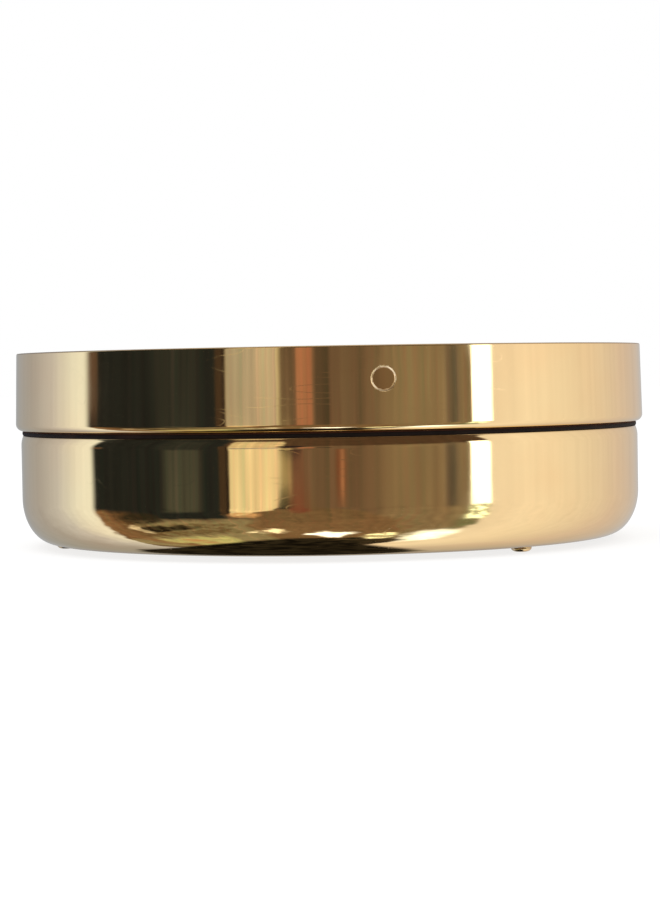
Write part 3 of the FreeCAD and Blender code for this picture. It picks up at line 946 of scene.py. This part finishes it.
wool, tree, shader, place = plain_material("red_felt", 0.95)
shader.inputs["Sheen Weight"].default_value = 0.10
shader.inputs["Sheen Roughness"].default_value = 0.45
shader.inputs["Sheen Tint"].default_value = (1.0, 0.72, 0.68, 1)
shader.inputs["Specular IOR Level"].default_value = 0.15
matted = noise(tree, place, 420.0, 8.0, Roughness=0.7, Distortion=2.2)
fibres = noise(tree, place, 2200.0, 3.0, Distortion=4.0)
cloudy = noise(tree, place, 18.0, 3.0)
worn = math_node(tree, "MULTIPLY", smooth_step(tree, cloudy, 0.4, 0.7), 0.25)
shade = mix_colour(tree, smooth_step(tree, matted, 0.3, 0.7), FELT_DEEP, FELT_COLOUR)
shade = mix_colour(tree, worn, shade, FELT_WORN)
tree.links.new(shade, shader.inputs["Base Color"])
pile = math_node(tree, "MULTIPLY_ADD", fibres, 0.4, matted)
tree.links.new(bump(tree, pile, 0.35 * MM), shader.inputs["Normal"])
felt.data.materials.append(wool)
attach(felt, "coin_pad")
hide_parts("pad_cover")


# ---------------------------------------------------------------------------------------------
# Seam washer: a ring cut from dark leather that lies on the bowl's shoulder under the collar's
# lip. Its near-black colour is also painted shade, the shade of the seam. It is squeezed a
# little, so its edge bulges and isn't quite even.
# ---------------------------------------------------------------------------------------------

washer_low, washer_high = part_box("seam_washer")
WASHER_BULGE = 0.45 * MM
WASHER_GAP = 0.3 * MM
WASHER_INSET = 0.05 * MM
WASHER_EDGE = 0.15 * MM
# Near-black leather, made this dark also as painted shade in the seam
LEATHER_AND_SHADE_DEEP = (0.004, 0.0022, 0.0015, 1)
LEATHER_AND_SEAM_SHADE = (0.012, 0.006, 0.004, 1)
LEATHER_BROWN = (0.020, 0.008, 0.004, 1)
LEATHER_TOP_EDGE = (0.10, 0.030, 0.014, 1)

washer_inner = NECK_RADIUS + WASHER_GAP
washer_outer = washer_high.x - WASHER_INSET
washer_middle = (washer_low.z + washer_high.z) / 2
washer_half = (washer_high.z - washer_low.z) / 2
washer_section = [(washer_inner, washer_low.z + WASHER_EDGE), (washer_inner + WASHER_EDGE, washer_low.z)]
washer_section += curve((washer_outer, washer_middle), (WASHER_BULGE, washer_half), -90, 90, 10)
washer_section += [(washer_inner + WASHER_EDGE, washer_high.z), (washer_inner, washer_high.z - WASHER_EDGE)]
washer = turn("leather_washer", washer_section, closed=True)
shade_smooth(washer, 50)

leather, tree, shader, place = plain_material("dark_leather", 0.7)
shader.inputs["Specular IOR Level"].default_value = 0.12
height = node(tree, "ShaderNodeSeparateXYZ", {0: place}).outputs[2]
pores = node(tree, "ShaderNodeTexVoronoi", {"Vector": place, "Scale": 1900.0}).outputs["Distance"]
grain = noise(tree, place, 700.0, 5.0)
patches = smooth_step(tree, noise(tree, place, 60.0, 3.0), 0.5, 0.75)
shade = mix_colour(tree, grain, LEATHER_AND_SHADE_DEEP, LEATHER_AND_SEAM_SHADE)
shade = mix_colour(tree, patches, shade, LEATHER_BROWN)
# Lighter reddish brown along the washer's top edge
top_edge = smooth_step(tree, height, washer_high.z - 0.45 * MM, washer_high.z - 0.1 * MM)
shade = mix_colour(tree, math_node(tree, "MULTIPLY", top_edge, 0.8), shade, LEATHER_TOP_EDGE)
tree.links.new(shade, shader.inputs["Base Color"])
relief = math_node(tree, "MULTIPLY_ADD", grain, 0.6, pores)
tree.links.new(bump(tree, relief, 0.10 * MM), shader.inputs["Normal"])
washer.data.materials.append(leather)
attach(washer, "washer")
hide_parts("seam_washer")


# ---------------------------------------------------------------------------------------------
# Collar: a rolled and polished brass wall with its lower edge turned in to a lip. It is drilled
# for three studs, and each hole keeps a fine shallow groove where the stud was filed flush.
# ---------------------------------------------------------------------------------------------

collar_low, collar_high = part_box("collar_band")
COLLAR_RADIUS = collar_high.x
WALL_TAPER = 0.7 * MM
COLLAR_TOP_RADIUS = COLLAR_RADIUS - WALL_TAPER
LIP = collar_low.z
TOP = collar_high.z
LIP_ROUND = 2.8 * MM
LIP_GAP = 0.4 * MM
TOP_ROUND = 0.6 * MM
STUD_FACE_RADIUS = 4.3 * MM
STUD_FIT = 0.01 * MM
STUD_GROOVE = 0.22 * MM
GROOVE_HALF_WIDTH = 0.5 * MM
POLISH_HIGHLIGHT_HALF_WIDTH = 0.2 * MM
DIMPLE_RADIUS = 9 * MM
DIMPLE_DEPTH = 0.03
WALL_MATCH = 0.9995

lip_centre = (COLLAR_RADIUS - LIP_ROUND, LIP + LIP_ROUND)
top_centre = (COLLAR_TOP_RADIUS - TOP_ROUND, TOP - TOP_ROUND)
collar_outline = curve(lip_centre, (LIP_ROUND, LIP_ROUND), -90, 0, 14)
collar_outline += curve(top_centre, (TOP_ROUND, TOP_ROUND), 0, 90, 6)
collar_section = collar_outline + [
    (COLLAR_TOP_RADIUS - SHEET + JOINT_GAP, TOP),
    (COLLAR_RADIUS - SHEET, lip_centre[1]),
]
collar_section += curve(lip_centre, (LIP_ROUND - SHEET, LIP_ROUND - SHEET), -15, -90, 6)
lip_edge = NECK_RADIUS + LIP_GAP
collar_section += [(lip_edge, LIP + SHEET), (lip_edge, LIP)]
collar = turn("collar_wall", collar_section, closed=True)

wall_lean = math.atan2(COLLAR_RADIUS - COLLAR_TOP_RADIUS, top_centre[1] - lip_centre[1])
stud_share = (STUD_HEIGHT - lip_centre[1]) / (top_centre[1] - lip_centre[1])
stud_surface = COLLAR_RADIUS + stud_share * (COLLAR_TOP_RADIUS - COLLAR_RADIUS)


def groove_cutter(bearing):
    """A ring of half-round section, for the shallow groove that filing leaves in the solder."""
    section = curve((STUD_FACE_RADIUS, stud_surface), (GROOVE_HALF_WIDTH, STUD_GROOVE), -180, 0, 12)
    section += [
        (STUD_FACE_RADIUS + GROOVE_HALF_WIDTH, stud_surface + 2 * MM),
        (STUD_FACE_RADIUS - GROOVE_HALF_WIDTH, stud_surface + 2 * MM),
    ]
    cutter = turn("groove_cutter", section, closed=True, segments=96)
    lay_along_stud(cutter, bearing)
    return cutter


def wall_normal(point):
    """Which way the collar's conical wall faces at a point."""
    reach = math.hypot(point.x, point.y)
    return Vector((point.x / reach, point.y / reach, math.tan(wall_lean))).normalized()


def true_wall(piece):
    """Gives faces on the collar's wall the exact cone's normals, so that cuts leave it smooth."""
    mesh = piece.data
    normals = [Vector(corner.vector) for corner in mesh.corner_normals]
    for face in mesh.polygons:
        radius = math.hypot(face.center.x, face.center.y)
        on_wall = radius > COLLAR_TOP_RADIUS - 0.2 * MM and lip_centre[1] < face.center.z < top_centre[1]
        if on_wall and face.normal.dot(wall_normal(face.center)) >= WALL_MATCH:
            for corner in face.loop_indices:
                point = mesh.vertices[mesh.loops[corner].vertex_index].co
                normals[corner] = wall_normal(point)
    mesh.normals_split_custom_set(normals)


def stud_marks_group():
    """The shallow dish that filing made round each stud, and the pale dry polish in its groove, which is
    painted there as the groove's highlight.
    """
    outputs = [("Dish", "NodeSocketFloat"), ("Polish_Highlight", "NodeSocketFloat")]
    tree, inside, out = group("stud_marks", [("Vector", "NodeSocketVector", None)], outputs)
    place = inside.outputs["Vector"]
    dish = 0.0
    polish_highlight = 0.0
    for bearing in STUD_BEARINGS:
        centre = round_plate(stud_surface, bearing, STUD_HEIGHT)
        away = node(tree, "ShaderNodeVectorMath", {0: place, 1: centre}, operation="DISTANCE")
        away = away.outputs["Value"]
        dip = math_node(tree, "SUBTRACT", smooth_step(tree, away, 0.0, DIMPLE_RADIUS), 1.0)
        dish = math_node(tree, "MULTIPLY_ADD", dip, DIMPLE_DEPTH, dish)
        # A thin ring of pale polish in each groove, painted there as the groove's highlight
        inner, outer = STUD_FACE_RADIUS - POLISH_HIGHLIGHT_HALF_WIDTH, STUD_FACE_RADIUS + POLISH_HIGHLIGHT_HALF_WIDTH
        ring = above_and_below(tree, away, inner, outer, 0.12 * MM)
        polish_highlight = math_node(tree, "ADD", polish_highlight, ring)
    inputs = {"Value": noise(tree, place, 160.0), "From Min": 0.38, "From Max": 0.6, "To Min": 0.15}
    patchy = node(tree, "ShaderNodeMapRange", inputs).outputs[0]
    tree.links.new(dish, out.inputs["Dish"])
    tree.links.new(math_node(tree, "MULTIPLY", polish_highlight, patchy), out.inputs["Polish_Highlight"])
    return tree


for bearing in STUD_BEARINGS:
    cut(collar, bar_cutter(bearing, STUD_FACE_RADIUS + STUD_FIT, NECK_RADIUS, COLLAR_RADIUS + SHEET))
    cut(collar, groove_cutter(bearing))
shade_smooth(collar)
true_wall(collar)
STUD_MARKS = stud_marks_group()
collar.data.materials.append(brass("collar_brass", **BRIGHT_POLISH, marks=STUD_MARKS, tarnish_and_shade_bands=(
    # Painted shade along the lip, in the seam over the washer
    (LIP - 0.2 * MM, LIP + 0.2 * MM, 0.3 * MM, 0.4),
    # Darker along the top edge
    (TOP - 0.35 * MM, TOP, 0.2 * MM, 0.75),
)))
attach(collar, "collar")
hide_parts("collar_band")


# ---------------------------------------------------------------------------------------------
# Rim plate: a flat turned brass ring let into the top of the collar and soldered. It makes the
# rim that hands hold, so its face is worn bright and finely scratched.
# ---------------------------------------------------------------------------------------------

rim_low, rim_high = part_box("rim_plate")
RIM_EDGE = 0.25 * MM
RIM_CORNER = 0.08 * MM
RIM_OVERHANG = 2.3 * MM
rim_outer = rim_high.x - JOINT_GAP
rim_inner = NECK_RADIUS - RIM_OVERHANG
rim_section = [(rim_outer, rim_low.z)]
rim_section += [(rim_outer, rim_high.z - RIM_CORNER), (rim_outer - RIM_CORNER, rim_high.z)]
rim_section += curve((rim_inner + RIM_EDGE, rim_high.z - RIM_EDGE), (RIM_EDGE, RIM_EDGE), 90, 180, 5)
rim_section += curve((rim_inner + RIM_EDGE, rim_low.z + RIM_EDGE), (RIM_EDGE, RIM_EDGE), 180, 270, 5)
rim = turn("rim_ring", rim_section, closed=True)
shade_smooth(rim)
rim.data.materials.append(brass(
    "rim_brass", roughness=0.09, smear=0.08, wave=0.012, ring=0.0018, scratch=0.006,
    tarnish_and_shade_bands=((rim_low.z, rim_low.z + 0.4 * MM, 0.5 * MM, 0.4),),
))
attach(rim, "collar")
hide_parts("rim_plate")


# ---------------------------------------------------------------------------------------------
# Bayonet studs: turned brass, each with a nose that runs in the neck's slot and a flange inside
# the wall. The outer end is soldered in, filed flush with the wall and polished with it.
# ---------------------------------------------------------------------------------------------

STUD_FLANGE_RADIUS = 5.6 * MM
STUD_FLANGE = 1.0 * MM
STUD_NOSE_RADIUS = 3.0 * MM
STUD_EDGE = 0.25 * MM
STUD_MIDDLE = 1.5 * MM
FLANGE_GAP = 0.2 * MM
STUD_COLOUR = (0.66, 0.44, 0.22, 1)
flange_seat = stud_surface - SHEET - FLANGE_GAP
flange_back = flange_seat - STUD_FLANGE
nose_end = NECK_RADIUS - SHEET
shank = STUD_FACE_RADIUS - STUD_FIT
stud_section = [
    (STUD_MIDDLE, nose_end),
    (STUD_NOSE_RADIUS - STUD_EDGE, nose_end),
    (STUD_NOSE_RADIUS, nose_end + STUD_EDGE),
    (STUD_NOSE_RADIUS, flange_back),
    (STUD_FLANGE_RADIUS - STUD_EDGE, flange_back),
    (STUD_FLANGE_RADIUS, flange_back + STUD_EDGE),
    (STUD_FLANGE_RADIUS, flange_seat),
    (shank, flange_seat),
    (shank, COLLAR_RADIUS + SHEET),
    (STUD_MIDDLE, COLLAR_RADIUS + SHEET),
]
stud_brass = brass(
    "stud_brass", base=STUD_COLOUR, roughness=0.05, smear=0.05, wave=0.03, brush=0.0006,
    scratch=0.003, marks=STUD_MARKS,
)
for number, bearing in enumerate(STUD_BEARINGS, 1):
    stud = turn(f"stud_{number}", stud_section, filled=True, segments=96)
    lay_along_stud(stud, bearing)
    filed = turn("filed_form", collar_outline, filled=True)
    cut(stud, filed, "INTERSECT")
    cut(stud, groove_cutter(bearing))
    shade_smooth(stud)
    true_wall(stud)
    stud.data.materials.append(stud_brass)
    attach(stud, "collar")
    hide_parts(f"bayonet_stud_{number}")


visual_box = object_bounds()
boxes = {"cad_m": cad_box, "visual_m": visual_box}
boxes = {name: [list(corner) for corner in box] for name, box in boxes.items()}
